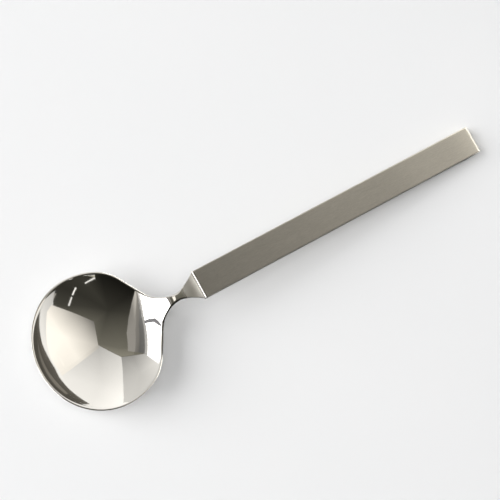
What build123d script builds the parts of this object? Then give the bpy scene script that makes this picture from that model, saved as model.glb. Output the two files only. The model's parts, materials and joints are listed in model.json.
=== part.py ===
from build123d import *
import math
import os

# A round-bowled soup spoon with a hollow rectangular handle, lying at rest on its bowl and handle end.
# The length runs along +X from the bowl's tip to the handle's end, +Y is to the side and +Z is up.
# The origin is under the middle of the spoon, on the surface that it lies on.

# Bowl, in millimetres and degrees
bowl_width = 50.0
tip_reach = 22.8
bowl_depth = 11.5
bowl_wall = 1.8
rim_height = 1.4
rim_round = 0.45
rim_limit = 0.4
heel_offset = 1.0

# Shoulder and neck, seen from above, then their heights
shoulder_start = 65.0
shoulder_radius = 16.4
shoulder_angle = 60.0
waist_radius = 11.2
neck_width = 3.0
neck_thickness = 3.2
neck_crown = 0.8
lip_blend = 0.7
root_blend = 0.8
flare_length = 8.7
flare_lead = 2.4
flare_trail = 2.4
flare_angle = 38.0
flare_rise = 1.1
flare_steepness = 4

# Handle
handle_length = 119.6
handle_width = 10.7
handle_thickness = 4.0
handle_slope = 7.0
handle_edge_round = 0.5
handle_end_round = 1.8
end_round_limit = 0.46
shell_wall = 0.6

# Pieces that close and fill the handle
collar_thickness = 0.5
collar_edge_round = 0.2
cap_length = 4.0
spigot_length = 6.0
tang_length = 45.0
tang_width = 6.0
tang_thickness = 1.6
tang_root = 1.5
tang_tip_width = 4.0
tang_taper = 6.0
notch_radius = 1.0
notch_pitch = 12.0
notch_rows = 3
fit_clearance = 0.05

# Grid that the bowl's skins are drawn on
skin_margin = 2.0
skin_columns = 121
skin_rows = 67
skin_tolerance = 0.002
skin_least_degree = 3
skin_most_degree = 5

# Plan of the head, measured from the middle of the bowl towards the handle
bowl_radius = bowl_width / 2
shoulder_start_rad = math.radians(shoulder_start)
line_normal_angle = 90 - shoulder_angle
line_normal = math.radians(line_normal_angle)
shoulder_offset = bowl_radius - shoulder_radius
shoulder_cx = shoulder_offset * math.cos(shoulder_start_rad)
shoulder_cy = shoulder_offset * math.sin(shoulder_start_rad)
line_top_x = shoulder_cx + shoulder_radius * math.cos(line_normal)
line_top_y = shoulder_cy + shoulder_radius * math.sin(line_normal)
line_drop = line_top_y - neck_width / 2 - waist_radius * (1 - math.sin(line_normal))
line_length = line_drop / math.cos(line_normal)
waist_cx = line_top_x + line_length * math.sin(line_normal) + waist_radius * math.cos(line_normal)
head_length = waist_cx + flare_length

# Resting pose: the handle's far edge and the bowl's underside touch the same surface
slope = math.radians(handle_slope)
end_round = min(handle_end_round, end_round_limit * handle_thickness)
end_reach = handle_length - end_round
end_rise = handle_thickness / 2 - end_round
handle_run = end_reach * math.cos(slope) + end_rise * math.sin(slope) + end_round
overall_length = tip_reach + head_length + handle_run
bowl_x = tip_reach - overall_length / 2
mouth_x = bowl_x + head_length
mouth_z = end_reach * math.sin(slope) + end_rise * math.cos(slope) + end_round
along_handle = (math.cos(slope), 0, -math.sin(slope))
above_handle = (math.sin(slope), 0, math.cos(slope))
handle_plane = Plane(origin=(mouth_x, 0, mouth_z), x_dir=along_handle, z_dir=above_handle)


def handle_point(reach, height):
    """A point on the handle's middle plane, from its mouth along the axis and above the axis."""
    return handle_plane.from_local_coords(Vector(reach, 0, height))


def handle_section(reach):
    """The plane square to the handle's axis at a distance from its mouth."""
    return Plane(origin=handle_point(reach, 0), x_dir=(0, 1, 0), z_dir=along_handle)


handle_side = Plane(origin=handle_point(0, 0), x_dir=along_handle, z_dir=(0, -1, 0))

# Heights of the neck, from the handle's mouth that it flares into
arris_top = handle_point(-collar_thickness, handle_thickness / 2)
arris_bottom = handle_point(-collar_thickness, -handle_thickness / 2)
waist_x = bowl_x + waist_cx
flare_end_x = handle_point(-collar_thickness, 0).X
flare_end_angle = math.radians(flare_angle)
neck_top = arris_top.Z - flare_rise
neck_bottom = neck_top - neck_thickness

# The bowl is a paraboloid whose low point lies a little towards the handle, at its heel
low_x = bowl_x + heel_offset
outer_depth = bowl_depth + bowl_wall - rim_height


def smooth_min(first, second, blend):
    """The lower of two heights, rounded where they cross."""
    return (first + second) / 2 - math.hypot((first - second) / 2, blend)


def bowl_height(x, y, floor, depth):
    """Height of a paraboloid of the given depth at the rim's radius."""
    return floor + depth * ((x - low_x) ** 2 + y**2) / bowl_radius**2


def flare_progress(x, end_x):
    """How far along the flare a place is: 0 at the waist, 1 at the handle's mouth."""
    return max(0.0, (x - waist_x) / (end_x - waist_x))


def upper_height(x, y):
    """Height of the head's upper skin: the bowl's inside, the neck's top and the flare."""
    progress = flare_progress(x, arris_top.X)
    fade = math.cos(math.pi / 2 * min(1.0, progress)) ** 2
    crown = neck_crown * fade * y**2 / (y**2 + neck_width**2 / 4)
    neck = neck_top - crown + flare_rise * progress**flare_steepness
    return smooth_min(bowl_height(x, y, bowl_wall, bowl_depth), neck, lip_blend)


def lower_height(x, y):
    """Height of the head's lower skin: the bowl's back, the neck's underside and the flare."""
    neck = neck_bottom + (arris_bottom.Z - neck_bottom) * flare_progress(x, arris_bottom.X) ** 2
    return smooth_min(bowl_height(x, y, 0, outer_depth), neck, root_blend)


def skin(height, lift):
    """A smooth face through a height formula, over all of the head's plan."""
    start_x = bowl_x - tip_reach - skin_margin
    step_x = (mouth_x + skin_margin - start_x) / (skin_columns - 1)
    start_y = -bowl_radius - skin_margin
    step_y = -2 * start_y / (skin_rows - 1)
    grid = []
    for column in range(skin_columns):
        x = start_x + column * step_x
        sides = [start_y + row * step_y for row in range(skin_rows)]
        grid.append([(x, y, height(x, y) + lift) for y in sides])
    return Face.make_surface_from_array_of_points(
        grid,
        tol=skin_tolerance,
        min_deg=skin_least_degree,
        max_deg=skin_most_degree,
    )


def tang_plan():
    """Plan of the tang on the handle's middle plane, from inside the flare to its tapered end."""
    with BuildSketch(handle_plane) as plan:
        with BuildLine():
            Polyline(
                (-collar_thickness - tang_root, -tang_width / 2),
                (tang_length - tang_taper, -tang_width / 2),
                (tang_length, -tang_tip_width / 2),
                (tang_length, tang_tip_width / 2),
                (tang_length - tang_taper, tang_width / 2),
                (-collar_thickness - tang_root, tang_width / 2),
                close=True,
            )
        make_face()
        notch_middle = (tang_length - tang_taper) / 2
        with Locations((notch_middle, tang_width / 2), (notch_middle, -tang_width / 2)):
            with GridLocations(notch_pitch, 1, notch_rows, 1):
                Circle(notch_radius, mode=Mode.SUBTRACT)
    return plan.sketch


os.makedirs("parts", exist_ok=True)

# Head: the plan raised as a prism, kept between the two skins and cut square to the handle
rest_lift = -lower_height(low_x, 0)
upper_skin = skin(upper_height, rest_lift)
lower_skin = skin(lower_height, rest_lift)
skin_travel = 2 * mouth_z

with BuildPart() as spoon_head:
    with BuildSketch():
        with BuildLine():
            CenterArc((bowl_x, 0), bowl_radius, shoulder_start, 90 - shoulder_start)
            EllipticalCenterArc((bowl_x, 0), tip_reach, bowl_radius, 90, arc_size=90)
            CenterArc(
                (bowl_x + shoulder_cx, shoulder_cy),
                shoulder_radius,
                line_normal_angle,
                shoulder_start - line_normal_angle,
            )
            waist = CenterArc(
                (waist_x, neck_width / 2 + waist_radius),
                waist_radius,
                180 + line_normal_angle,
                shoulder_angle,
            )
            Line((bowl_x + line_top_x, line_top_y), waist @ 0)
            Bezier(
                (waist_x, neck_width / 2),
                (waist_x + flare_lead, neck_width / 2),
                (
                    flare_end_x - flare_trail * math.cos(flare_end_angle),
                    handle_width / 2 - flare_trail * math.sin(flare_end_angle),
                ),
                (flare_end_x, handle_width / 2),
            )
            Polyline(
                (flare_end_x, handle_width / 2),
                (mouth_x + collar_thickness, handle_width / 2),
                (mouth_x + collar_thickness, 0),
            )
            mirror(about=Plane.XZ)
        make_face()
    extrude(amount=skin_travel)
    extrude(upper_skin, amount=skin_travel, dir=(0, 0, -1), mode=Mode.INTERSECT)
    extrude(lower_skin, amount=skin_travel, dir=(0, 0, 1), mode=Mode.INTERSECT)
    spare_end = spoon_head.faces().sort_by(Axis.X)[-1]
    skins = spoon_head.faces().filter_by(GeomType.BSPLINE)
    fillet(skins.edges() - spare_end.edges(), radius=min(rim_round, rim_limit * rim_height))
    split(bisect_by=handle_section(-collar_thickness), keep=Keep.BOTTOM)
    extrude(tang_plan(), amount=tang_thickness / 2, both=True)

spoon_head.part.label = "spoon_head"
export_step(spoon_head.part, "parts/spoon_head.step")

# Collar: a thin plate across the handle's mouth, with a slot that the tang passes through
with BuildPart() as mouth_collar:
    with BuildSketch(handle_section(-collar_thickness)):
        RectangleRounded(handle_width, handle_thickness, handle_edge_round)
        Rectangle(tang_width + 2 * fit_clearance, tang_thickness + 2 * fit_clearance, mode=Mode.SUBTRACT)
    extrude(amount=collar_thickness)
    collar_ends = mouth_collar.faces().filter_by(handle_section(0))
    fillet([face.outer_wire().edges() for face in collar_ends], radius=collar_edge_round)

mouth_collar.part.label = "mouth_collar"
export_step(mouth_collar.part, "parts/mouth_collar.step")

# Handle shells: two channels that butt at mid-height
shell_length = handle_length - cap_length
hollow_width = handle_width - 2 * shell_wall
hollow_height = handle_thickness - 2 * shell_wall
shell_halves = {"handle_upper_shell": Keep.TOP, "handle_lower_shell": Keep.BOTTOM}

for shell_name, half in shell_halves.items():
    with BuildPart() as handle_shell:
        with BuildSketch(handle_section(0)):
            RectangleRounded(handle_width, handle_thickness, handle_edge_round)
            Rectangle(hollow_width, hollow_height, mode=Mode.SUBTRACT)
        extrude(amount=shell_length)
        split(bisect_by=handle_plane, keep=half)
    handle_shell.part.label = shell_name
    export_step(handle_shell.part, f"parts/{shell_name}.step")

# End cap: a block rounded over at the free end, with a spigot that plugs the shells
with BuildPart() as handle_end_cap:
    with BuildSketch(handle_side):
        with Locations((shell_length, 0)):
            Rectangle(cap_length, handle_thickness, align=(Align.MIN, Align.CENTER))
    extrude(amount=handle_width / 2, both=True)
    cap_front = handle_end_cap.faces().sort_by(Axis.X)[0]
    cap_back = handle_end_cap.faces().sort_by(Axis.X)[-1]
    fillet(cap_back.edges().filter_by(Axis.Y), radius=end_round)
    cap_sides = handle_end_cap.faces().sort_by(Axis.Y)
    side_edges = cap_sides[0].edges() + cap_sides[-1].edges()
    fillet(side_edges - cap_front.edges(), radius=handle_edge_round)
    with BuildSketch(handle_section(shell_length)):
        Rectangle(hollow_width - 2 * fit_clearance, hollow_height - 2 * fit_clearance)
    extrude(amount=-spigot_length)

handle_end_cap.part.label = "handle_end_cap"
export_step(handle_end_cap.part, "parts/handle_end_cap.step")

# Filler: cement that fills the hollow from the collar to the spigot, cast around the tang
with BuildPart() as handle_filler:
    with BuildSketch(handle_section(0)):
        Rectangle(hollow_width, hollow_height)
    extrude(amount=shell_length - spigot_length)
    extrude(tang_plan(), amount=tang_thickness / 2, both=True, mode=Mode.SUBTRACT)

handle_filler.part.label = "handle_filler"
export_step(handle_filler.part, "parts/handle_filler.step")

print(f"overall length {overall_length:.2f} mm, handle mouth {mouth_z:.2f} mm above the surface")
print(f"neck top {neck_top:.2f} mm, shoulder line {line_length:.2f} mm long")
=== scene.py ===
# %% [markdown]
# A round soup spoon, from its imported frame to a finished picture.
# The frame gives every piece its place, in metres: +X runs along the spoon from the bowl's tip to the handle's end,
# +Y is to the side and +Z is up, with the spoon lying on z = 0. Each step below makes one piece or one finish.

# %% Load the frame
import json
import math
import bpy
from mathutils import Matrix, Vector

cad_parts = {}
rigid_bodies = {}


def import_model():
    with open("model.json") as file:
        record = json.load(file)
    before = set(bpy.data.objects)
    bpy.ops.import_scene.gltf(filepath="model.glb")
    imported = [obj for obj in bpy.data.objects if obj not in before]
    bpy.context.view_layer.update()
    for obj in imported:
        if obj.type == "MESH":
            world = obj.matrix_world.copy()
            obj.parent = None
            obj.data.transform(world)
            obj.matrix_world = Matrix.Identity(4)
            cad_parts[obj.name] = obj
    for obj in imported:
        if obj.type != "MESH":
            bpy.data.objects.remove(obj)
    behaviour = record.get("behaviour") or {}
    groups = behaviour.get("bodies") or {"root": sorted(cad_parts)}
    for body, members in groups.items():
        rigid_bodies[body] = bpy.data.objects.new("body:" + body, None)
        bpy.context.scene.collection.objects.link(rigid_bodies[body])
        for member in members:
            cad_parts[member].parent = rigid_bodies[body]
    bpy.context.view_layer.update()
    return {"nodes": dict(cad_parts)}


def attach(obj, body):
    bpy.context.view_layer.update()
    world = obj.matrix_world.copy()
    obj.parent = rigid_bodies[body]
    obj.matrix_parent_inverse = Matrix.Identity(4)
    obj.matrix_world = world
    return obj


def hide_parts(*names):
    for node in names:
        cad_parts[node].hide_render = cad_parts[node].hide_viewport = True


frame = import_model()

print("nodes:", sorted(frame["nodes"]))

# %% [markdown]
# The polished head is one forging: a round bowl, a shoulder that draws in, a thin neck and a flare that meets the
# handle. A mirror shows every flaw of the mesh under it, so flat triangles won't do, and neither will a sculpted guess.
# The head therefore repeats the sizes that the spoon was designed with, in millimetres and degrees. Only the neck and
# the flare are finer here: their heights and edge rounds follow how the real ones catch the light. A hair is kept free
# at the top and at the end, so that no rounding error passes the designed size.

# %% Sizes of the bowl and its outline
mm = 0.001
bowl_radius = 25.0
tip_reach = 22.8
bowl_depth = 11.5
bowl_wall = 1.8
rim_height = 1.4
heel_offset = 1.0
shoulder_start = math.radians(65.0)
shoulder_radius = 16.4
line_normal = math.radians(30.0)
waist_radius = 11.2
print("bowl", 2 * bowl_radius, "mm wide and", bowl_depth, "mm deep")

# %% Sizes of the neck and the flare
hair = 0.004
neck_width = 3.0
neck_drop = 4.3
neck_crown = 0.2
neck_climb = 0.35
lip_blend = 0.7
root_blend = 0.8
flare_length = 8.7
flare_lead = 2.4
flare_trail = 2.4
flare_angle = math.radians(38.0)
flare_jump = 1.2
flare_steepness = 3.5
lip_jump = 0.12
lip_steepness = 24
print("neck", neck_width, "mm wide, flare", flare_length, "mm long")

# %% Sizes of the handle
handle_length = 119.6
handle_width = 10.7
handle_thickness = 4.0
handle_slope = math.radians(7.0)
end_round = 1.8
collar_thickness = 0.5
half_height = handle_thickness / 2
print("handle", handle_length, "mm long and", handle_width, "mm wide")

# %% [markdown]
# Seen from above, the head's outline is a chain of arcs, one straight line and one curve, the same on both sides.
# These few lines work out where the arcs meet, and where the handle's mouth lies when the spoon rests on the table.

# %% Where the outline's parts meet
shoulder_offset = bowl_radius - shoulder_radius
shoulder_cx = shoulder_offset * math.cos(shoulder_start)
shoulder_cy = shoulder_offset * math.sin(shoulder_start)
line_top_x = shoulder_cx + shoulder_radius * math.cos(line_normal)
line_top_y = shoulder_cy + shoulder_radius * math.sin(line_normal)
line_drop = line_top_y - neck_width / 2 - waist_radius * (1 - math.sin(line_normal))
line_length = line_drop / math.cos(line_normal)
waist_reach = line_top_x + line_length * math.sin(line_normal) + waist_radius * math.cos(line_normal)
head_length = waist_reach + flare_length
end_reach = handle_length - end_round
end_rise = half_height - end_round
handle_run = end_reach * math.cos(handle_slope) + end_rise * math.sin(handle_slope) + end_round
bowl_x = tip_reach - (tip_reach + head_length + handle_run) / 2
mouth_x = bowl_x + head_length
mouth_z = end_reach * math.sin(handle_slope) + end_rise * math.cos(handle_slope) + end_round
waist_x = bowl_x + waist_reach
low_x = bowl_x + heel_offset
print(f"bowl middle {bowl_x:.2f}, waist {waist_x:.2f}, handle mouth {mouth_x:.2f} mm, {mouth_z:.2f} mm up")


# %% A point on the handle's middle plane
def handle_point(reach, height):
    """A point on the handle's middle plane: along its axis from the mouth, and above its axis."""
    x = mouth_x + reach * math.cos(handle_slope) + height * math.sin(handle_slope)
    z = mouth_z - reach * math.sin(handle_slope) + height * math.cos(handle_slope)
    return x, z


arris_top = handle_point(-collar_thickness, half_height)
arris_bottom = handle_point(-collar_thickness, -half_height)
flare_end_x, flare_end_z = handle_point(-collar_thickness, 0)
neck_bottom = arris_top[1] - neck_drop
outer_depth = bowl_depth + bowl_wall - rim_height
print(f"neck underside {neck_bottom:.2f} mm, flare ends at {flare_end_x:.2f} mm")

# %% [markdown]
# The head has two skins, an upper and a lower one, each a height over the plan. The bowl is a shallow dish whose low
# point lies a little towards the handle, and it runs up into the neck with a soft blend, like a fillet.


# %% Helpers for the heights
def smooth_min(first, second, blend):
    """The lower of two heights, rounded where they cross."""
    return (first + second) / 2 - math.hypot((first - second) / 2, blend)


def dish(x, y, floor, depth):
    """Height of a paraboloid of the given depth at the rim's radius."""
    return floor + depth * ((x - low_x) ** 2 + y**2) / bowl_radius**2


def flare_progress(x, end_x, least=0.0):
    """How far along the flare a place is: 0 at the waist, 1 at the handle."""
    return max(least, (x - waist_x) / (end_x - waist_x))


# %% Heights of the two skins
def neck_height(x):
    """Height of the neck's top: an even climb from the bowl, then a steep flare up to the handle's arris."""
    even = flare_progress(x, arris_top[0], -1.0) - 1
    progress = min(1.0, flare_progress(x, arris_top[0]))
    steep = flare_jump * (progress**flare_steepness - 1) + lip_jump * (progress**lip_steepness - 1)
    return arris_top[1] - hair + neck_climb * even + steep


def upper_skin(x, y):
    """Height of the bowl's inside, the neck's top and the flare."""
    progress = flare_progress(x, arris_top[0])
    fade = math.cos(math.pi / 2 * min(1.0, progress)) ** 2
    crown = neck_crown * fade * y**2 / (y**2 + neck_width**2 / 4)
    neck = neck_height(x) - crown
    return smooth_min(dish(x, y, bowl_wall, bowl_depth), neck, lip_blend) + rest_lift


def lower_skin(x, y):
    """Height of the bowl's back, the neck's underside and the flare."""
    neck = neck_bottom + (arris_bottom[1] - neck_bottom) * flare_progress(x, arris_bottom[0]) ** 2
    return smooth_min(dish(x, y, 0, outer_depth), neck, root_blend) + rest_lift


# %% The bowl set down on the table
rest_lift = 0.0
rest_lift = -lower_skin(low_x, 0)
tip_z, side_z = upper_skin(bowl_x - tip_reach, 0), upper_skin(bowl_x, bowl_radius)
print(f"rim at the tip {tip_z:.2f} mm, at the sides {side_z:.2f} mm")

# %% [markdown]
# Half of the outline, from the tip to just past the handle's mouth, as points with the direction that leads inwards.
# Arcs are walked in equal angles, so the mesh is dense where the outline bends.


# %% Points along the bowl and its arcs
def arc_points(cx, cy, radius, start, end, steps, inward):
    """Points on an arc, each with its inward direction."""
    found = []
    for step in range(steps):
        turn = start + (end - start) * step / steps
        out = (math.cos(turn), math.sin(turn))
        found.append((cx + radius * out[0], cy + radius * out[1], inward * out[0], inward * out[1]))
    return found


def tip_points(steps):
    """Points on the quarter ellipse round the bowl's tip."""
    found = []
    for step in range(steps):
        turn = math.pi - math.pi / 2 * step / steps
        lean = Vector((-math.cos(turn) / tip_reach, -math.sin(turn) / bowl_radius)).normalized()
        found.append((bowl_x + tip_reach * math.cos(turn), bowl_radius * math.sin(turn), lean.x, lean.y))
    return found


# %% Points along the straight line and the flare
def line_points(steps):
    """Points on the straight line between the shoulder and the waist."""
    found = []
    for step in range(steps):
        run = line_length * step / steps
        x = bowl_x + line_top_x + run * math.sin(line_normal)
        y = line_top_y - run * math.cos(line_normal)
        found.append((x, y, -math.cos(line_normal), -math.sin(line_normal)))
    return found


def flare_points(steps):
    """Points on the curve that widens the neck to the handle."""
    ends = [(waist_x, neck_width / 2), (waist_x + flare_lead, neck_width / 2)]
    trail_x = flare_end_x - flare_trail * math.cos(flare_angle)
    ends += [(trail_x, handle_width / 2 - flare_trail * math.sin(flare_angle)), (flare_end_x, handle_width / 2)]
    a, b, c, d = [Vector(end) for end in ends]
    found = []
    for step in range(steps):
        t = step / steps
        place = a * (1 - t) ** 3 + b * 3 * t * (1 - t) ** 2 + c * 3 * t**2 * (1 - t) + d * t**3
        way = (b - a) * (1 - t) ** 2 + (c - b) * 2 * t * (1 - t) + (d - c) * t**2
        way.normalize()
        found.append((place.x, place.y, way.y, -way.x))
    return found


# %% The whole half outline
tip_steps, side_steps, shoulder_steps = 48, 12, 14
line_steps, waist_steps, flare_steps = 12, 20, 20
past_flare = (0.0, 0.06, 0.12, 0.18, 0.235, 0.3, 0.5, 1.0)
shoulder_middle = (bowl_x + shoulder_cx, shoulder_cy)
waist_middle = (waist_x, neck_width / 2 + waist_radius)
outline = tip_points(tip_steps)
outline += arc_points(bowl_x, 0, bowl_radius, math.pi / 2, shoulder_start, side_steps, -1)
outline += arc_points(*shoulder_middle, shoulder_radius, shoulder_start, line_normal, shoulder_steps, -1)
outline += line_points(line_steps)
outline += arc_points(*waist_middle, waist_radius, math.pi + line_normal, 1.5 * math.pi, waist_steps, 1)
outline += flare_points(flare_steps)
outline += [(flare_end_x + extra, handle_width / 2, 0, -1) for extra in past_flare]
print(len(outline), "points along half of the outline")

# %% [markdown]
# Across the head, each outline point gets a closed cross-section: out along the upper skin from the middle line, round
# the rim, and back along the lower skin. The rim's two edges are rounded by a rolling ball, and the ball's middle
# follows from the skin's slope. Along the neck the upper edge is rounder and the sides lean in.

# %% Edge rounds along the head
rim_round, neck_round, flare_round = 0.45, 0.9, 0.2
neck_lean = 0.4
neck_blend_start, neck_blend_length = 6.0, 5.0
neck_round_fade, flare_round_gain = 2.2, 1.6


def eased(share):
    """A share held between 0 and 1 that starts and ends gently."""
    share = min(1.0, max(0.0, share))
    return share * share * (3 - 2 * share)


def neck_share(x):
    """How much a place belongs to the neck: 0 on the bowl, rising to 1 before the waist."""
    return eased((x - waist_x + neck_blend_start) / neck_blend_length)


def top_round(x):
    """Radius of the upper edge: small round the bowl, larger along the neck, small again on the flare."""
    progress = flare_progress(x, flare_end_x)
    swell = (neck_round - rim_round) * neck_share(x) * max(0.0, 1 - neck_round_fade * progress)
    return rim_round + swell - (rim_round - flare_round) * min(1.0, flare_round_gain * progress)


def leaning_in(point):
    """The outline's point for the lower edge: drawn in along the neck, so that the neck's sides lean inwards."""
    x, y, inward_x, inward_y = point
    lean = neck_lean * neck_share(x) * (1 - min(1.0, flare_progress(x, flare_end_x)) ** 2)
    return x + lean * inward_x, y + lean * inward_y, inward_x, inward_y


print(f"upper edge round {top_round(bowl_x):.2f} mm at the bowl, {top_round(waist_x):.2f} mm at the waist")

# %% A rolled edge
round_steps = 8
roll_tries = 3
slope_step = 0.02


def slope_inwards(skin, x, y, inward_x, inward_y):
    """How steeply a skin falls in the inward direction."""
    ahead = skin(x + slope_step * inward_x, y + slope_step * inward_y)
    behind = skin(x - slope_step * inward_x, y - slope_step * inward_y)
    return (behind - ahead) / (2 * slope_step)


def rolled_edge(skin, point, side, radius):
    """The rounded edge between a skin and the upright rim: the ball's middle, and the skin's normal there."""
    x, y, inward_x, inward_y = point
    reach = radius
    for _ in range(roll_tries):
        place = (x + reach * inward_x, y + reach * inward_y)
        fall = slope_inwards(skin, *place, inward_x, inward_y)
        stretch = math.hypot(1, fall)
        reach = radius * (1 + side * fall / stretch)
    edge_z = skin(x + reach * inward_x, y + reach * inward_y) + fall * reach
    middle_z = edge_z - fall * radius - side * radius * stretch
    return middle_z, reach, math.atan2(side, side * fall)


def rolled_points(point, middle_z, radius, start, end):
    """Points round a rolled edge, from one normal direction to another, in the upright plane across the rim."""
    x, y, inward_x, inward_y = point
    found = []
    for step in range(round_steps + 1):
        turn = start + (end - start) * step / round_steps
        inset = radius * (1 + math.cos(turn))
        found.append((x + inset * inward_x, y + inset * inward_y, middle_z + radius * math.sin(turn)))
    return found


# %% [markdown]
# Each section starts on the middle line. Inside the bowl the starts are bunched into a short slit, so that no fan of
# thin triangles meets in one point, and along the neck the sections stand square across.

# %% One cross-section
skin_steps = 34
spine_share = 0.56
shoulder_reach = bowl_radius * math.cos(shoulder_start)


def spine_x(x):
    """Where on the middle line a section starts: bunched inside the bowl, square across in the neck."""
    reach = x - bowl_x
    blend = eased((reach - shoulder_reach) / (waist_reach - shoulder_reach))
    return bowl_x + reach * (spine_share + (1 - spine_share) * blend)


def section(point):
    """One closed cross-section, from the middle line over the rim and back."""
    x, y, inward_x, inward_y = point
    start = Vector((spine_x(x), 0))
    radius = top_round(x)
    top_z, top_reach, top_turn = rolled_edge(upper_skin, point, 1, radius)
    low_point = leaning_in(point)
    low_z, low_reach, low_turn = rolled_edge(lower_skin, low_point, -1, rim_round)
    top_end = Vector((x + top_reach * inward_x, y + top_reach * inward_y))
    low_end = Vector((low_point[0] + low_reach * inward_x, low_point[1] + low_reach * inward_y))
    upper = [start.lerp(top_end, step / skin_steps) for step in range(skin_steps)]
    lower = [low_end.lerp(start, step / skin_steps) for step in range(1, skin_steps + 1)]
    found = [(place.x, place.y, upper_skin(place.x, place.y)) for place in upper]
    found += rolled_points(point, top_z, radius, top_turn, math.pi)
    found += rolled_points(low_point, low_z, rim_round, math.pi, low_turn % (2 * math.pi))
    found += [(place.x, place.y, lower_skin(place.x, place.y)) for place in lower]
    return found


# %% Both sides of the head
near_side = [section(point) for point in outline]
far_side = [[(x, -y, z) for x, y, z in row] for row in reversed(near_side[1:])]
sections = far_side + near_side
print(len(sections), "sections of", len(sections[0]), "points")

# %% [markdown]
# A flat grid has just the rows and columns that the sections need. It is added as a primitive, and each of its points
# is then moved to its place. The two sides share the middle line, so merging by distance closes the seam.


# %% Going into and out of edit mode
def clear_selection():
    """Leaves nothing selected, so that an operator acts on the new piece alone."""
    bpy.ops.object.select_all(action="DESELECT")


def select_only(piece):
    """Selects one piece and nothing else."""
    clear_selection()
    piece.select_set(True)
    bpy.context.view_layer.objects.active = piece


def start_editing(piece):
    """Selects one piece and goes into its edit mode."""
    select_only(piece)
    bpy.ops.object.mode_set(mode="EDIT")


def stop_editing():
    """Goes back to object mode."""
    bpy.ops.object.mode_set(mode="OBJECT")


# %% Grid laid over the sections
clear_selection()
columns = len(sections) - 1
rows = len(sections[0]) - 1
bpy.ops.mesh.primitive_grid_add(x_subdivisions=columns, y_subdivisions=rows, size=2 * bowl_radius * mm)
polished_head = bpy.context.object
polished_head.name = "polished_head"
places = [sections[column][row] for row in range(rows + 1) for column in range(columns + 1)]
polished_head.data.vertices.foreach_set("co", [value * mm for place in places for value in place])
print(len(polished_head.data.vertices), "grid points,", len(places), "places")

# %% Seam merged, end cut square to the handle
merge_distance = 0.002 * mm
cut_threshold = 0.0001 * mm
cut_place = (flare_end_x * mm, 0, flare_end_z * mm)
handle_way = (math.cos(handle_slope), 0, -math.sin(handle_slope))
start_editing(polished_head)
bpy.ops.mesh.select_all(action="SELECT")
bpy.ops.mesh.remove_doubles(threshold=merge_distance)
bpy.ops.mesh.select_all(action="SELECT")
bpy.ops.mesh.bisect(
    plane_co=cut_place, plane_no=handle_way, use_fill=True, clear_outer=True, threshold=cut_threshold)
bpy.ops.mesh.select_all(action="SELECT")
bpy.ops.mesh.normals_make_consistent(inside=False)
stop_editing()
print("head:", len(polished_head.data.polygons), "faces after the cut")

# %% [markdown]
# Inside the handle the head ends in a tang, a flat tongue with notches that the cement grips. It starts as a block in
# the handle's own direction. A bisect marks where it tapers, the end face is narrowed, and round cutters bite the
# notches. The pieces of the handle are made in the same way, so the steps that repeat are written once here.


# %% A block, and how it is laid along the handle
def block(name, start, end, width, low, high):
    """A block along the handle's axis, between two distances from its mouth and two heights, still unturned."""
    clear_selection()
    middle = ((start + end) / 2 * mm, 0, (low + high) / 2 * mm)
    bpy.ops.mesh.primitive_cube_add(size=1, location=middle)
    piece = bpy.context.object
    piece.name = name
    piece.scale = ((end - start) * mm, width * mm, (high - low) * mm)
    bpy.ops.object.transform_apply(location=True, rotation=False, scale=True)
    return piece


def lay_along_handle(piece):
    """Turns a piece to the handle's slope, moves it to the mouth and puts its place into its mesh."""
    select_only(piece)
    piece.rotation_euler = (0, handle_slope, 0)
    piece.location = (mouth_x * mm, 0, mouth_z * mm)
    bpy.ops.object.transform_apply(location=True, rotation=True, scale=True)


# %% Selecting, bevelling, cutting and welding
def pick(piece, kind, wanted):
    """Selects only the faces or edges of a piece whose middle and corners pass a test, given in millimetres."""
    mesh = piece.data
    for item in list(mesh.vertices) + list(mesh.edges) + list(mesh.polygons):
        item.select = False
    for item in getattr(mesh, kind):
        points = [mesh.vertices[index].co / mm for index in item.vertices]
        item.select = bool(wanted(sum(points, Vector()) / len(points), points))


def bevel_edges(piece, wanted, size, segments):
    """Rounds the edges of a piece that pass a test, by a size in millimetres."""
    pick(piece, "edges", wanted)
    start_editing(piece)
    bpy.ops.mesh.select_mode(type="EDGE")
    bpy.ops.mesh.bevel(offset=size * mm, segments=segments)
    stop_editing()


def combine(piece, other, operation):
    """Cuts one piece with another, or welds the two into one closed shell. The other one is used up."""
    change = piece.modifiers.new("change", "BOOLEAN")
    change.operation = operation
    change.object = other
    select_only(piece)
    bpy.ops.object.modifier_apply(modifier="change")
    bpy.data.objects.remove(other)


# %% Tang block and its taper
near = 0.01
tang_length = 45.0
tang_width = 6.0
tang_thickness = 1.6
tang_root = 1.5
tang_tip_width = 4.0
tang_taper = 6.0
taper_x = tang_length - tang_taper
tang_start = -collar_thickness - tang_root
tang = block("tang", tang_start, tang_length, tang_width, -tang_thickness / 2, tang_thickness / 2)
start_editing(tang)
bpy.ops.mesh.select_all(action="SELECT")
bpy.ops.mesh.bisect(plane_co=(taper_x * mm, 0, 0), plane_no=(1, 0, 0))
stop_editing()
pick(tang, "polygons", lambda middle, points: middle.x > tang_length - near)
start_editing(tang)
bpy.ops.mesh.select_mode(type="FACE")
bpy.ops.transform.resize(value=(1, tang_tip_width / tang_width, 1))
stop_editing()
print("tang:", len(tang.data.polygons), "faces before its notches")

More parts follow.
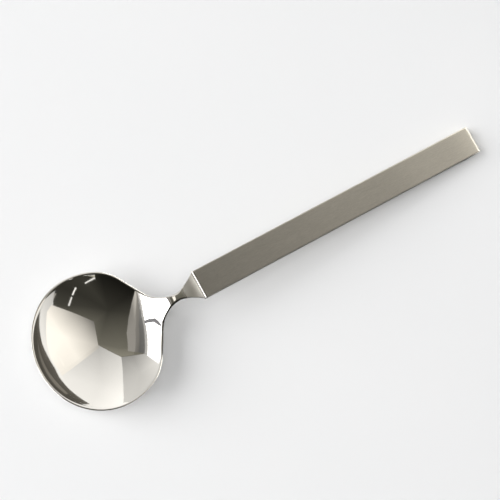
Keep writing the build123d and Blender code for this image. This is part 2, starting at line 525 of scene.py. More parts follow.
# %% Notches, and the tang welded to the head
notch_radius = 1.0
notch_pitch = 12.0
notch_rows = 3
notch_sides = 24
notch_height = 4.0
smooth_angle = math.radians(35)
for row in range(notch_rows):
    for side in (-1, 1):
        notch_x = taper_x / 2 + (row - (notch_rows - 1) / 2) * notch_pitch
        spot = (notch_x * mm, side * tang_width / 2 * mm, 0)
        clear_selection()
        bpy.ops.mesh.primitive_cylinder_add(
            vertices=notch_sides, radius=notch_radius * mm, depth=notch_height * mm, location=spot)
        combine(tang, bpy.context.object, "DIFFERENCE")
lay_along_handle(tang)
print("tang:", len(tang.data.polygons), "faces")
combine(polished_head, tang, "UNION")
bpy.ops.object.shade_smooth_by_angle(angle=smooth_angle)
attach(polished_head, "root")
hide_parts("spoon_head")
print("head and tang:", len(polished_head.data.polygons), "faces")

# %% [markdown]
# The collar is a thin polished plate between the head and the handle. Its rounded edge is the crisp bright line that
# crosses the spoon. A bevel on all outer edges of a thin block gives it, and a slot lets the tang through.

# %% Collar
edge_round = 0.5
collar_round = 0.245
collar_segments = 6
fit_clearance = 0.05
cutter_spare = 1.0
slot_half = tang_thickness / 2 + fit_clearance


def corner_edge(middle, points):
    """An edge that runs along the handle, and not round one of the collar's two faces."""
    return abs(points[0].x - points[1].x) > near


bright_collar = block("bright_collar", -collar_thickness, 0, handle_width, -half_height, half_height)
bevel_edges(bright_collar, corner_edge, edge_round, collar_segments)
bevel_edges(bright_collar, lambda middle, points: not corner_edge(middle, points), collar_round, collar_segments)
slot_width = tang_width + 2 * fit_clearance
slot_cutter = block("slot_cutter", -cutter_spare, cutter_spare, slot_width, -slot_half, slot_half)
combine(bright_collar, slot_cutter, "DIFFERENCE")
lay_along_handle(bright_collar)
bpy.ops.object.shade_smooth_by_angle(angle=smooth_angle)
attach(bright_collar, "root")
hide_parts("mouth_collar")
print("collar:", len(bright_collar.data.polygons), "faces")

# %% [markdown]
# The handle is two pressed channels that butt at mid-height. Each starts as a block of half the handle's height, and a
# longer block cuts the channel out of it. Its long outer edges are bevelled round, and the seam gets a hair of bevel,
# because a butt joint catches a thin line of light.

# %% Handle shells
shell_wall = 0.6
cap_length = 4.0
shell_length = handle_length - cap_length
hollow_height = half_height - shell_wall
hollow_width = handle_width - 2 * shell_wall
shell_segments, seam_segments = 8, 2
seam_round = 0.06
shortest_long_edge = 1.0


def long_edge(middle, points, height):
    """An edge along the handle's outer side, at a height above or below its middle plane."""
    outer = abs(middle.y) > handle_width / 2 - near and abs(abs(middle.z) - height) < near
    return outer and abs(points[0].x - points[1].x) > shortest_long_edge


def shell(name, node, side):
    """One half of the handle: side is 1 for the upper channel and -1 for the lower one."""
    piece = block(name, 0, shell_length, handle_width, *sorted((0, side * half_height)))
    heights = sorted((-side * cutter_spare, side * hollow_height))
    hollow = block("hollow_cutter", -cutter_spare, shell_length + cutter_spare, hollow_width, *heights)
    combine(piece, hollow, "DIFFERENCE")
    bevel_edges(piece, lambda middle, points: long_edge(middle, points, half_height), edge_round, shell_segments)
    bevel_edges(piece, lambda middle, points: long_edge(middle, points, 0), seam_round, seam_segments)
    lay_along_handle(piece)
    bpy.ops.object.shade_smooth_by_angle(angle=smooth_angle)
    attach(piece, "root")
    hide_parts(node)
    print(name, len(piece.data.polygons), "faces")
    return piece


upper_shell = shell("satin_upper_shell", "handle_upper_shell", 1)
lower_shell = shell("satin_lower_shell", "handle_lower_shell", -1)

# %% [markdown]
# The end cap closes the handle and rounds it over, top and bottom. The two end edges get a wide bevel first, and then
# the long side edges a narrow one that follows the round. The corners are then drawn in, so that the end is rounded
# from above too. A spigot on its inner face plugs the shells.

# %% End cap
end_segments, cap_segments = 16, 6
tight = 0.001


def end_edge(middle, points):
    """One of the two edges across the handle's end."""
    return middle.x > handle_length - near and abs(middle.z) > half_height - near


def side_outline(middle, points):
    """An edge of one of the cap's two side faces, apart from those on the joint with the shells."""
    on_side = all(abs(point.y) > handle_width / 2 - tight for point in points)
    return on_side and middle.x > shell_length + tight


satin_end_cap = block("satin_end_cap", shell_length, handle_length, handle_width, -half_height, half_height)
bevel_edges(satin_end_cap, end_edge, end_round, end_segments)
bevel_edges(satin_end_cap, side_outline, edge_round, cap_segments)
print("end cap:", len(satin_end_cap.data.polygons), "faces before its spigot")

# %% Points of the cap kept inside its round, and its corners drawn in
corner_round = 1.0
for vertex in satin_end_cap.data.vertices:
    vertex.co.x = min(vertex.co.x, (handle_length - hair) * mm)
    vertex.co.z = max(-half_height * mm, min(half_height * mm, vertex.co.z))
    reach, height = vertex.co.x / mm - end_reach, abs(vertex.co.z / mm) - end_rise
    stray = math.hypot(reach, height) / (end_round - hair)
    if reach > 0 and height > 0 and stray > 1:
        vertex.co.x = (end_reach + reach / stray) * mm
        vertex.co.z = math.copysign(end_rise + height / stray, vertex.co.z) * mm
    past = vertex.co.x / mm - (handle_length - corner_round)
    if past > 0:
        drawn_in = corner_round - math.sqrt(max(0.0, corner_round**2 - past**2))
        vertex.co.y *= 1 - drawn_in / (handle_width / 2)
print("corners drawn in by", corner_round, "mm")

# %% Spigot of the end cap
spigot_length = 6.0
spigot_overlap = 1.0
spigot_chamfer, chamfer_segments = 0.3, 2
spigot_start = shell_length - spigot_length
spigot_half = hollow_height - fit_clearance
spigot_width = hollow_width - 2 * fit_clearance
spigot = block("spigot", spigot_start, shell_length + spigot_overlap, spigot_width, -spigot_half, spigot_half)
bevel_edges(spigot, lambda middle, points: middle.x < spigot_start + near, spigot_chamfer, chamfer_segments)
combine(satin_end_cap, spigot, "UNION")
lay_along_handle(satin_end_cap)
bpy.ops.object.shade_smooth_by_angle(angle=smooth_angle)
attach(satin_end_cap, "root")
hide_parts("handle_end_cap")
print("end cap:", len(satin_end_cap.data.polygons), "faces")

# %% [markdown]
# Materials are node trees. A small class wraps a node's socket, so that shader maths reads like ordinary maths: adding
# or multiplying two wrapped sockets adds a Math node. One method adds any other node.


# %% Shader maths
class Wire:
    """A socket in a node tree that can be added, subtracted and multiplied."""

    def __init__(self, tree, socket):
        self.tree = tree
        self.socket = socket

    def node(self, kind, settings=None, **sockets):
        """Adds a node of any kind: settings first, then the values or links of its sockets."""
        made = self.tree.nodes.new(kind)
        for name, value in (settings or {}).items():
            setattr(made, name, value)
        for name, value in sockets.items():
            target = made.inputs[int(name[1:])] if name[1:].isdigit() else made.inputs[name.replace("_", " ")]
            if isinstance(value, Wire):
                self.tree.links.new(value.socket, target)
            else:
                target.default_value = value
        return made

    def maths(self, operation, first, second):
        """A Math node on two values or wires."""
        made = self.node("ShaderNodeMath", {"operation": operation}, i0=first, i1=second)
        return Wire(self.tree, made.outputs[0])

    def __add__(self, other):
        return self.maths("ADD", self, other)

    __radd__ = __add__

    def __mul__(self, other):
        return self.maths("MULTIPLY", self, other)

    __rmul__ = __mul__

    def __sub__(self, other):
        return self.maths("SUBTRACT", self, other)

    def __rsub__(self, other):
        return self.maths("SUBTRACT", other, self)

    def spread(self, low, high, new_low, new_high):
        """Maps a range of values to another range, clamped."""
        made = self.node("ShaderNodeMapRange", {"clamp": True}, i0=self, i1=low, i2=high, i3=new_low, i4=new_high)
        return Wire(self.tree, made.outputs[0])

    def tint(self, first, second):
        """A colour between two colours, by this value."""
        made = self.node("ShaderNodeMix", {"data_type": "RGBA"}, i0=self, i6=(*first, 1), i7=(*second, 1))
        return Wire(self.tree, made.outputs[2])


# %% A new metal or cement material
def new_material(name, metallic):
    """A material, its shader node, and a wire with the piece's Object coordinates."""
    material = bpy.data.materials.new(name)
    material.use_nodes = True
    tree = material.node_tree
    shader = tree.nodes["Principled BSDF"]
    shader.inputs["Metallic"].default_value = metallic
    coordinates = tree.nodes.new("ShaderNodeTexCoord")
    return material, shader, Wire(tree, coordinates.outputs["Object"])


# %% Patterns, and links between nodes
def turned(place, scale, turn):
    """Object coordinates turned and scaled by a Mapping node."""
    made = place.node("ShaderNodeMapping", Vector=place, Rotation=turn, Scale=scale)
    return Wire(place.tree, made.outputs[0])


def noise(place, scale, detail=3.0, rough=0.55):
    """Soft noise around one half, on given coordinates and with so many cells to the metre."""
    made = place.node("ShaderNodeTexNoise", Vector=place, Scale=scale, Detail=detail, Roughness=rough)
    return Wire(place.tree, made.outputs[0])


def bump(height, strength, distance):
    """A normal that follows a height, with the depth of the relief in metres."""
    made = height.node("ShaderNodeBump", Height=height, Strength=strength, Distance=distance)
    return Wire(height.tree, made.outputs[0])


def plug(wire, shader, name):
    """Links a wire to one of a node's sockets."""
    wire.tree.links.new(wire.socket, shader.inputs[name])


# %% [markdown]
# Mirror-polished steel reflects nearly everything, so its detail is in how cleanly it does so. Faint clouds from wiping
# change the roughness over a few millimetres, and hairline polishing marks at two angles add a trace of relief. A wheel
# can't reach into the flare, so the polish is softer there. A mask along the spoon adds that roughness.

# %% Polished steel
steel_dark, steel_light = (0.80, 0.785, 0.755), (0.84, 0.825, 0.795)
cloud_cells = 170.0
long_hairs, long_turn = (160, 9000, 9000), (0, 0, math.radians(24))
cross_hairs, cross_turn = (9000, 220, 9000), (0, 0, math.radians(-33))
hair_share, hair_relief, hair_depth = 0.008, 0.05, 0.000004
polished_steel, shader, place = new_material("polished_steel", 1.0)
clouds = noise(place, cloud_cells, detail=4.0)
hairs_long = noise(turned(place, long_hairs, long_turn), 1.0, detail=2.0)
hairs_cross = noise(turned(place, cross_hairs, cross_turn), 1.0, detail=2.0)
hairs = hairs_long.spread(0.35, 0.75, 0.0, 1.0) + hairs_cross.spread(0.4, 0.8, 0.0, 0.6)
plug(clouds.tint(steel_dark, steel_light), shader, "Base Color")
plug(bump(hairs, hair_relief, hair_depth), shader, "Normal")
print("polished steel:", len(polished_steel.node_tree.nodes), "nodes before its roughness")

# %% Softer polish in the flare
soft_start, soft_rise = waist_x + 1.1, 2.0
soft_end, soft_fall = arris_top[0] - 0.5, 0.3
softness = 0.27
split = place.node("ShaderNodeSeparateXYZ", Vector=place)
reach = Wire(place.tree, split.outputs[0])
begun = reach.spread(soft_start * mm, (soft_start + soft_rise) * mm, 0.0, 1.0)
ended = reach.spread((soft_end - soft_fall) * mm, soft_end * mm, 0.0, 1.0)
in_flare = begun * (1 - ended)
plug(clouds.spread(0.3, 0.75, 0.025, 0.055) + hairs * hair_share + in_flare * softness, shader, "Roughness")
print(f"softer from {soft_start:.1f} to {soft_end:.1f} mm")

# %% [markdown]
# The handle's satin finish comes from a belt that runs lengthwise. It leaves fine parallel streaks, a few hundredths of
# a millimetre wide and many millimetres long. Noise that is stretched along the handle gives them. The handle slopes,
# so a Mapping node turns the pattern with it. The streaks change the tone, the roughness and a relief of a few microns.

# %% Satin steel
satin_dark, satin_light = (0.54, 0.52, 0.47), (0.66, 0.635, 0.575)
fine_streaks, middle_streaks, broad_streaks = (70, 9000, 9000), (28, 2600, 2600), (14, 420, 420)
relief_depth = 0.0000026
smudge_cells = 90.0
along = (0, handle_slope, 0)
satin_steel, shader, place = new_material("satin_steel", 1.0)
fine = noise(turned(place, fine_streaks, along), 1.0, rough=0.6)
middle = noise(turned(place, middle_streaks, along), 1.0, rough=0.6)
broad = noise(turned(place, broad_streaks, along), 1.0, detail=2.0)
smudges = noise(place, smudge_cells)
streaks = fine * 0.5 + middle * 0.35 + broad * 0.15
plug(streaks.spread(0.36, 0.64, 0.0, 1.0).tint(satin_dark, satin_light), shader, "Base Color")
plug(streaks.spread(0.35, 0.65, 0.38, 0.30) + smudges.spread(0.3, 0.7, -0.02, 0.02), shader, "Roughness")
plug(bump((fine * 0.6 + middle * 0.4) * relief_depth, 1.0, 1.0), shader, "Normal")
print("satin steel:", len(satin_steel.node_tree.nodes), "nodes")

# %% [markdown]
# The cement inside the handle can't be seen, but it is a piece of the spoon, so it has a finish too: a dull, speckled,
# slightly gritty casting.

# %% Filler cement
cement_dark, cement_light = (0.42, 0.39, 0.34), (0.62, 0.59, 0.53)
grit_cells, patch_cells = 2600.0, 240.0
grit_relief, grit_depth = 0.5, 0.00008
filler_cement, shader, place = new_material("filler_cement", 0.0)
grit = noise(place, grit_cells, detail=4.0, rough=0.7)
patches = noise(place, patch_cells)
speckle = (grit * 0.6 + patches * 0.4).spread(0.3, 0.7, 0.0, 1.0)
plug(speckle.tint(cement_dark, cement_light), shader, "Base Color")
plug(grit.spread(0.3, 0.7, 0.75, 0.95), shader, "Roughness")
plug(bump(grit, grit_relief, grit_depth), shader, "Normal")
print("filler cement:", len(filler_cement.node_tree.nodes), "nodes")


# %% Materials onto their pieces
def dress(piece, material):
    """Gives a piece one material in all of its slots."""
    if not piece.material_slots:
        piece.data.materials.append(material)
    for slot in piece.material_slots:
        slot.material = material


for piece in (polished_head, bright_collar):
    dress(piece, polished_steel)
for piece in (upper_shell, lower_shell, satin_end_cap):
    dress(piece, satin_steel)
for thing in list(bpy.data.objects):
    if thing.type == "MESH" and "handle_filler" in thing.name:
        dress(thing, filler_cement)
        print("cement on", thing.name)

# %% [markdown]
# The camera stands above the middle of the spoon at about arm's length and looks nearly straight down. It is turned so
# that the spoon lies from the lower left to the upper right. Its axes are written out, because its tilt is small.

# %% Where the camera stands
picture = 500
camera_reach = 500.0
pixels_per_mm = 2.7576
lean_tip = math.radians(7.9138)
lean_side = math.radians(4.477)
camera_roll = math.radians(28.4891)
aim = Vector((-4.565, 2.8306, 10.0))
away = Vector((
    -math.sin(lean_tip) * math.cos(lean_side), -math.sin(lean_side), math.cos(lean_tip) * math.cos(lean_side)))
level = (Vector((1, 0, 0)) - away * away.x).normalized()
across = away.cross(level)
right = level * math.cos(camera_roll) - across * math.sin(camera_roll)
above = level * math.sin(camera_roll) + across * math.cos(camera_roll)
eye = aim + away * camera_reach
print("camera at", tuple(round(value, 1) for value in eye), "mm")

# %% Camera
camera_data = bpy.data.cameras.new("camera")
camera_data.sensor_width = 36.0
camera_data.lens = pixels_per_mm * camera_reach * camera_data.sensor_width / picture
camera_data.clip_start = 0.01
camera = bpy.data.objects.new("camera", camera_data)
bpy.context.scene.collection.objects.link(camera)
turn = Matrix((right, above, away)).transposed().to_4x4()
camera.matrix_world = Matrix.Translation(eye * mm) @ turn
bpy.context.scene.camera = camera
print(f"lens of {camera_data.lens:.1f} mm")

# %% [markdown]
# The floor is a plain pale sheet. It takes the spoon's soft shadow, and polished metal sees it as the same pale sheet.
# It lies a trace below the spoon, so that the two never share a plane.

# %% Floor
floor_half = 1.2
floor_drop = 0.02 * mm
paper_cells = 8.0
paper_dark, paper_light = (0.86, 0.865, 0.87), (0.89, 0.89, 0.89)
clear_selection()
bpy.ops.mesh.primitive_plane_add(size=2 * floor_half, location=(0, 0, -floor_drop))
floor = bpy.context.object
floor.name = "floor"
floor_paper, shader, place = new_material("floor_paper", 0.0)
shader.inputs["Specular IOR Level"].default_value = 0.2
shader.inputs["Roughness"].default_value = 0.8
plug(noise(place, paper_cells, detail=2.0).tint(paper_dark, paper_light), shader, "Base Color")
dress(floor, floor_paper)
print("floor", 2 * floor_half, "m across")

# %% [markdown]
# Two soft lamps light the floor and the spoon: a wide one from the picture's left, which lays the shadow to the right
# of the bowl, and a smaller, weaker one overhead. A pale world fills the shadows. The lamps are kept out of
# reflections, which the cards below take over.


# %% Lamps
def heading(azimuth, elevation):
    """A direction seen from the bowl, in degrees round from +X and up from the floor."""
    turn, climb = math.radians(azimuth), math.radians(elevation)
    return Vector((math.cos(turn) * math.cos(climb), math.sin(turn) * math.cos(climb), math.sin(climb)))


def soft_lamp(name, place, width, watts):
    """A square lamp that points at the middle of the spoon."""
    data = bpy.data.lights.new(name, "AREA")
    data.size = width
    data.energy = watts
    lamp = bpy.data.objects.new(name, data)
    bpy.context.scene.collection.objects.link(lamp)
    lamp.location = place
    lamp.rotation_euler = (Vector((0, 0, 0)) - place).to_track_quat("-Z", "Y").to_euler()
    lamp.visible_glossy = False
    lamp.visible_camera = False
    print(name, "at", tuple(round(value, 2) for value in place))


key_way, key_distance = heading(150, 35), 2.5
overhead_height = 1.3
soft_lamp("key_lamp", key_way * key_distance, width=2.2, watts=66.0)
soft_lamp("overhead_lamp", Vector((0, 0, overhead_height)), width=0.6, watts=4.5)

# %% [markdown]
# The world is nearly white behind the spoon, also through glass, and gives the floor only a weak, even fill. A mirror
# sees it as the dim warm air of a room.

# %% World
fill_strength = 0.3
fill_air, mirrored_air = (0.9, 0.9, 0.9), (0.40, 0.385, 0.35)
world = bpy.data.worlds.new("world")
bpy.context.scene.world = world
world.use_nodes = True
background = world.node_tree.nodes["Background"]
light_path = world.node_tree.nodes.new("ShaderNodeLightPath")
in_camera, in_mirror, through_glass = [
    Wire(world.node_tree, light_path.outputs[f"Is {kind} Ray"]) for kind in ("Camera", "Glossy", "Transmission")]
strength = in_camera * (1 - fill_strength) + fill_strength
for seen in (in_mirror, through_glass):
    strength = strength.maths("MAXIMUM", strength, seen)
plug(in_mirror.tint(fill_air, mirrored_air), background, "Color")
plug(strength, background, "Strength")
print("world:", len(world.node_tree.nodes), "nodes")

# %% [markdown]
# A mirror is only as good as what it mirrors. The spoon stands in a plain corner: cream walls, a darker ceiling, a pale
# curtain and a bright window. Each card is placed where the bowl should show it: from the camera through a chosen pixel
# to the bowl, and on along the mirrored ray. Only reflections see the cards. Their corners and shades are set one by
# one, as cards are moved about in a studio, until the bowl looks right.

# %% Where the bowl mirrors a pixel
search_span = 60.0
search_tries = 40
lean_step = 0.05


def mirrored(px, py):
    """The place on the bowl behind a pixel, and the direction in which it mirrors the view, in millimetres."""
    ray = (right * (px - picture / 2) - above * (py - picture / 2)) / pixels_per_mm - away * camera_reach
    ray.normalize()
    before, behind = camera_reach - search_span, camera_reach + search_span
    for _ in range(search_tries):
        middle = (before + behind) / 2
        place = eye + ray * middle
        if place.z > upper_skin(place.x, place.y):
            before = middle
        else:
            behind = middle
    place = eye + ray * before
    lean_x = upper_skin(place.x + lean_step, place.y) - upper_skin(place.x - lean_step, place.y)
    lean_y = upper_skin(place.x, place.y + lean_step) - upper_skin(place.x, place.y - lean_step)
    normal = Vector((-lean_x, -lean_y, 2 * lean_step)).normalized()
    return place, ray - normal * 2 * ray.dot(normal)


# %% A sheet that glows
def glowing(sheet, colour):
    """Gives a sheet a glow that follows its shade, and hides it from all but mirrors."""
    material = bpy.data.materials.new(sheet.name)
    material.use_nodes = True
    tree = material.node_tree
    tree.nodes.remove(tree.nodes["Principled BSDF"])
    glow = tree.nodes.new("ShaderNodeEmission")
    glow.inputs["Color"].default_value = (*colour, 1)
    attribute = tree.nodes.new("ShaderNodeAttribute")
    attribute.attribute_name = "shade"
    tree.links.new(attribute.outputs["Fac"], glow.inputs["Strength"])
    tree.links.new(glow.outputs[0], tree.nodes["Material Output"].inputs["Surface"])
    dress(sheet, material)
    sheet.visible_camera = False
    sheet.visible_diffuse = False
    sheet.visible_shadow = False
    print(sheet.name, "of", len(sheet.data.polygons), "faces")


# %% A card that the bowl shows over chosen pixels
bowl_heart = Vector((bowl_x, 0, bowl_wall))
card_cuts = 7


def corner_way(spot, reach):
    """The way from the bowl to a card's corner, which is a heading, or a pixel in which the bowl mirrors it."""
    if len(spot) == 1:
        return spot[0]
    place, way = mirrored(*spot)
    return (place + way * reach - bowl_heart).normalized()


def card(name, colour, reach, corners, heart=None):
    """A glowing sheet on a sphere round the bowl. Each corner ends with its shade, and heart is the middle's."""
    clear_selection()
    bpy.ops.mesh.primitive_circle_add(vertices=len(corners), radius=1, fill_type="TRIFAN")
    sheet = bpy.context.object
    sheet.name = name
    ways = [corner_way(spot, reach) for *spot, level in corners]
    levels = [corner[-1] for corner in corners]
    hub = min(sheet.data.vertices, key=lambda vertex: vertex.co.length).index
    rim = [vertex.index for vertex in sheet.data.vertices if vertex.index != hub]
    shade = sheet.data.attributes.new("shade", "FLOAT", "POINT")
    for index, way, level in zip(rim, ways, levels):
        sheet.data.vertices[index].co = way
        shade.data[index].value = level
    sheet.data.vertices[hub].co = sum(ways, Vector()).normalized()
    shade.data[hub].value = heart or sum(levels) / len(levels)
    start_editing(sheet)
    bpy.ops.mesh.select_all(action="SELECT")
    bpy.ops.mesh.subdivide(number_cuts=card_cuts)
    stop_editing()
    for vertex in sheet.data.vertices:
        vertex.co = (bowl_heart + vertex.co.normalized() * reach) * mm
    glowing(sheet, colour)


# %% Cards for the walls
cream = (1.0, 0.955, 0.875)
pale = (1.0, 0.985, 0.95)
card("left_wall", cream, 1500, [
    (51.4, 304.9, 0.95), (72, 312.3, 0.55), (94, 321.6, 0.2), (98.3, 345.1, 0.6), (79, 359.2, 1.15),
    (60.5, 372.8, 1.15), (51, 358.4, 1.3), (47.1, 344.1, 1.35), (46.2, 329.7, 1.35), (47.1, 311.6, 1.2)], heart=1.3)
card("lower_wall", pale, 1500, [
    (98.3, 345.1, 0.52), (121.3, 357, 0.85), (123, 380, 1.08), (124.6, 399.6, 1.3), (122, 408, 1.3),
    (105, 410, 1.2), (90, 406, 1.1), (75, 393, 1.08), (60.5, 372.8, 1.06)], heart=1.0)
card("side_wall", pale, 1500, [
    (121.3, 357, 0.36), (133, 355.5, 0.38), (144.7, 353.7, 0.6), (158, 360, 0.95), (163, 366, 0.95),
    (156, 387, 0.8), (142, 401, 0.75), (124.6, 408, 0.8), (123, 380, 0.66)], heart=0.68)
card("pale_strip", pale, 1800, [
    (56, 286, 0.6), (53.5, 296, 0.6), (53, 305, 1.0), (50, 311, 1.3), (49, 330, 1.3), (50, 345, 1.25),
    (54, 359, 1.3), (64, 374, 1.3), (79, 392, 1.2), (95, 405, 1.1), (86, 409, 1.0), (66, 396, 1.0),
    (50, 378, 1.0), (40, 356, 1.0), (36, 334, 1.0), (40, 312, 1.0), (46, 297, 0.8)], heart=1.1)

# %% Cards for the shade under the far wall, and for the corner between two walls
umber = (1.0, 0.92, 0.78)
card("far_shade", umber, 1300, [
    (40.3, 309, 0.14), (39.3, 325, 0.14), (42.3, 344, 0.14), (47.1, 354.6, 0.14), (54.8, 368, 0.14),
    (59.6, 377.6, 0.14), (68.2, 388, 0.14), (77.7, 396, 0.14), (90, 404, 0.14), (77.7, 404.5, 0.085),
    (66.3, 400, 0.085), (53.8, 390, 0.085), (45.2, 379, 0.085), (38.5, 367, 0.085), (33.7, 349, 0.085),
    (32.8, 334.5, 0.085), (35, 320, 0.085)], heart=0.105)
card("shade_streak", umber, 1280, [
    (37.4, 338, 0.16), (41.6, 357, 0.2), (47.6, 370, 0.22), (57.5, 383, 0.27), (68, 393.5, 0.27),
    (66, 394.5, 0.22), (55.5, 385.5, 0.22), (45.8, 372, 0.2), (39.8, 358, 0.18)], heart=0.24)
card("wall_corner", cream, 1450, [
    (98.2, 344.6, 0.55), (79, 358.6, 1.12), (60, 372.2, 1.15), (62, 376, 1.12), (80.5, 362, 1.05),
    (99.4, 347.2, 0.55)], heart=1.05)

# %% [markdown]
# Two cards stand low on the horizon, where the bowl hardly mirrors them: a glow beyond the handle's end, which that
# rounded end catches, and a dark card in front, which the near edges of the spoon catch.

# %% Cards on the horizon
card("end_glow", pale, 1400, [
    (heading(-50, 0), 8.0), (heading(-50, 8), 8.0), (heading(-20, 8), 8.0), (heading(20, 8), 8.0),
    (heading(50, 8), 8.0), (heading(50, 0), 8.0), (heading(20, 0), 8.0), (heading(-20, 0), 8.0)])
card("front_shade", umber, 2000, [
    (heading(-152, -4), 0.03), (heading(-152, 15), 0.03), (heading(-120, 19), 0.03), (heading(-90, 21), 0.03),
    (heading(-70, 17), 0.03), (heading(-66, -4), 0.03), (heading(-100, -4), 0.03)])

# %% Cards for the dark ceiling, its beam and its lamps
olive = (1.0, 0.955, 0.78)
card("ceiling", olive, 1900, [
    (51.4, 304.9, 0.07), (72, 312.3, 0.11), (94, 321.6, 0.14), (98.3, 345.1, 0.18), (121.3, 357, 0.23),
    (144.7, 353.7, 0.19), (148, 340, 0.15), (143, 316, 0.06), (137, 290, 0.008), (122, 274, 0.005),
    (100, 268, 0.01), (80, 274, 0.05), (60, 286, 0.035)], heart=0.045)
card("beam", olive, 1880, [
    (99, 345, 0.2), (110, 350.5, 0.26), (121.3, 356.4, 0.3), (134, 354.6, 0.28), (134, 348.5, 0.2),
    (121, 348.5, 0.19), (109, 345, 0.17)])
card("ceiling_lamp_a", pale, 1850, [
    (75.2, 287.4, 1.2), (76.6, 287.8, 1.2), (73.2, 295.3, 1.2), (71.8, 294.8, 1.2)])
card("ceiling_lamp_b", pale, 1850, [
    (71.2, 296.6, 0.95), (72.6, 297.2, 0.95), (69.6, 306.2, 0.85), (67.8, 305.6, 0.85)])
card("ceiling_lamp_c", pale, 1850, [
    (94.6, 277.2, 1.2), (95.2, 278.6, 1.2), (85.4, 283.8, 1.2), (84.8, 282.8, 1.2)])
card("ceiling_lamp_d", olive, 1850, [
    (86, 274.8, 0.7), (94.6, 275, 0.7), (94.8, 277, 0.7), (87, 275.8, 0.7)])

# %% Cards for the curtain
card("curtain_pale", cream, 1750, [
    (135.6, 289, 0.75), (136.8, 294, 0.55), (136, 310, 0.33), (135.3, 330, 0.36), (134.8, 352, 0.36),
    (127.9, 351, 0.36), (126.6, 333, 0.34), (128.4, 318, 0.28), (131.4, 304, 0.3)], heart=0.34)
card("curtain_fold", cream, 1740, [
    (136.8, 294, 0.3), (138, 296, 0.25), (138.6, 325, 0.2), (138.6, 352.5, 0.17), (134.8, 352, 0.24),
    (135.3, 330, 0.26), (136, 310, 0.28)], heart=0.23)
card("curtain_grey", pale, 1730, [
    (138, 296, 0.3), (141.4, 316, 0.24), (144.8, 340, 0.2), (144.6, 353.6, 0.17), (138.6, 352.5, 0.14),
    (138.6, 325, 0.18)], heart=0.19)
card("curtain_edge", pale, 1720, [
    (136.2, 289, 0.9), (139, 293, 0.9), (143.2, 316, 0.62), (147.3, 340, 0.6), (146.4, 354, 0.6),
    (144.6, 353.6, 0.5), (144.8, 340, 0.5), (141.4, 316, 0.5), (138, 296, 0.7)], heart=0.6)

# %% Cards for the window and its sash
daylight = (1.0, 1.0, 1.0)
sash_grey = (0.96, 0.95, 1.0)
card("window", daylight, 1200, [
    (139.6, 293, 5.0), (143.8, 316, 5.0), (147.8, 340, 3.0), (147, 355.5, 1.6), (156, 362, 1.4),
    (heading(124, 4), 1.3), (heading(140, -3), 1.3), (heading(160, -3), 3.0), (heading(180, -3), 5.0),
    (heading(-164, -1), 5.0), (heading(-160, 8), 5.0)], heart=3.0)
card("window_sash", sash_grey, 1190, [
    (144.2, 320.6, 0.3), (149, 318.6, 0.3), (155.4, 318, 0.3), (159.4, 321.6, 0.3), (163, 326.4, 0.3),
    (162.2, 327.6, 0.3), (158.6, 324.2, 0.3), (154.8, 321, 0.3), (149, 321.6, 0.3), (144.7, 323.4, 0.3)])

# %% [markdown]
# Satin steel is too rough to show a picture, but it still mirrors brightness. In a studio, a handle fades from dark to
# light under a card that fades the same way. This one floats close over the handle's flat, where the bowl hardly sees
# it. Its brightness is given at a few shares of the handle's length. A darker margin on one side and a lighter one on
# the other give the handle a dark edge and a light one, and keep the window's glare off the satin. A dark strip beside
# the handle darkens its side.


# %% A sheet hung close to the spoon
def hung_sheet(name, colour, columns, rows, spot):
    """A glowing grid. For each column and row, spot gives a place in millimetres and the shade there."""
    clear_selection()
    bpy.ops.mesh.primitive_grid_add(x_subdivisions=columns, y_subdivisions=rows, size=2)
    sheet = bpy.context.object
    sheet.name = name
    shade = sheet.data.attributes.new("shade", "FLOAT", "POINT")
    for vertex in sheet.data.vertices:
        column, row = round((vertex.co.x + 1) / 2 * columns), round((vertex.co.y + 1) / 2 * rows)
        place, level = spot(column, row)
        vertex.co = place * mm
        shade.data[vertex.index].value = level
    glowing(sheet, colour)


# %% How the handle's card fades
fade_stops = [(-0.2, 0.155), (0.03, 0.205), (0.1, 0.22), (0.17, 0.245), (0.33, 0.285), (0.5, 0.345), (0.67, 0.375)]
fade_stops += [(0.8, 0.485), (0.92, 0.53), (0.98, 0.68), (1.05, 1.15), (1.3, 1.5)]


def faded(share):
    """Brightness of the fading card for a share of the handle's length."""
    for (start, low), (end, high) in zip(fade_stops, fade_stops[1:]):
        if share <= end:
            return low + (high - low) * (share - start) / (end - start)
    return fade_stops[-1][1]


print("the card fades from", faded(0), "to", faded(1))

# %% Fading card over the handle, and a dark strip beside it
card_start, card_end = -1.0, handle_length + 24.0
card_shift = 2.0
card_columns = 60
fade_lift = 6.0
fade_rows = [(-30.0, 0.3), (-9.5, 0.3), (-8.5, 1.0), (8.5, 1.0), (9.5, 2.5), (40.0, 2.5)]
strip_gap = 0.01
strip_rows = [(-14.0, 1.0), (-handle_width / 2 - strip_gap, 1.0)]
strip_shade = 0.06


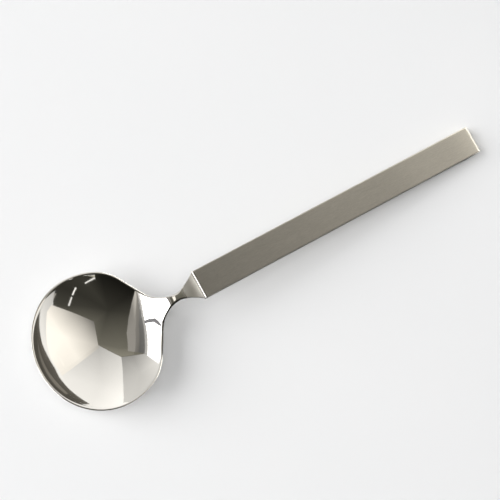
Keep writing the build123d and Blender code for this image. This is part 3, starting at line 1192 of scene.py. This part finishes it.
def handle_card(name, height, rows, brightness):
    """A glowing sheet along the handle, with a brightness along it and a share of that in each row across it."""
    def spot(column, row):
        reach = card_start + (card_end - card_start) * column / card_columns
        x, z = handle_point(reach, height)
        y, share = rows[row]
        return Vector((x, y, z)), share * brightness((reach - card_shift) / handle_length)

    hung_sheet(name, cream, card_columns, len(rows) - 1, spot)


handle_card("fading_card", half_height + fade_lift, fade_rows, faded)
handle_card("dark_strip", -half_height, strip_rows, lambda share: strip_shade)

# %% [markdown]
# The neck has a thin dark line along one edge, where its rounded side turns away from the light and mirrors a dark part
# of the room. An upright dark sheet follows the outline at a few millimetres, so that only this edge sees it.

# %% Dark sheet beside the neck
sheet_gap = 4.5
sheet_start_x = -50.0
sheet_heights = (4.0, 23.0)
sheet_shade = 0.02
neck_outline = [point for point in outline if sheet_start_x < point[0] < flare_end_x]


def beside_neck(column, row):
    """A place on the sheet, on the far side from the outline's own half, and its shade."""
    x, y, inward_x, inward_y = neck_outline[column]
    return Vector((x - sheet_gap * inward_x, sheet_gap * inward_y - y, sheet_heights[row])), sheet_shade


hung_sheet("neck_sheet", umber, len(neck_outline) - 1, 1, beside_neck)

# %% [markdown]
# The flare has a soft highlight just before the bright line. A small light card hangs over the neck, in the direction
# that the steep end of the flare mirrors.

# %% Small light card over the neck
glow_reach = 20.0
glow_half_width, glow_half_height = 4.5, 2.4
glow_steps = 4
glow_shade = 1.25
glow_way = heading(173, 47)
flare_spot = Vector((flare_end_x - 0.7, 0, mouth_z + 1.5))
glow_middle = flare_spot + glow_way * glow_reach
glow_across = Vector((0, 0, 1)).cross(glow_way).normalized()
glow_rise = glow_way.cross(glow_across)


def over_neck(column, row):
    """A place on the small card, and its shade."""
    across = (2 * column / glow_steps - 1) * glow_half_width
    rise = (2 * row / glow_steps - 1) * glow_half_height
    return glow_middle + glow_across * across + glow_rise * rise, glow_shade


hung_sheet("flare_glow", cream, glow_steps, glow_steps, over_neck)

# %% [markdown]
# The picture is shown as it is rendered, with no film look. The visual model must fill the CAD box and no more.

# %% View
bpy.context.scene.view_settings.view_transform = "Standard"
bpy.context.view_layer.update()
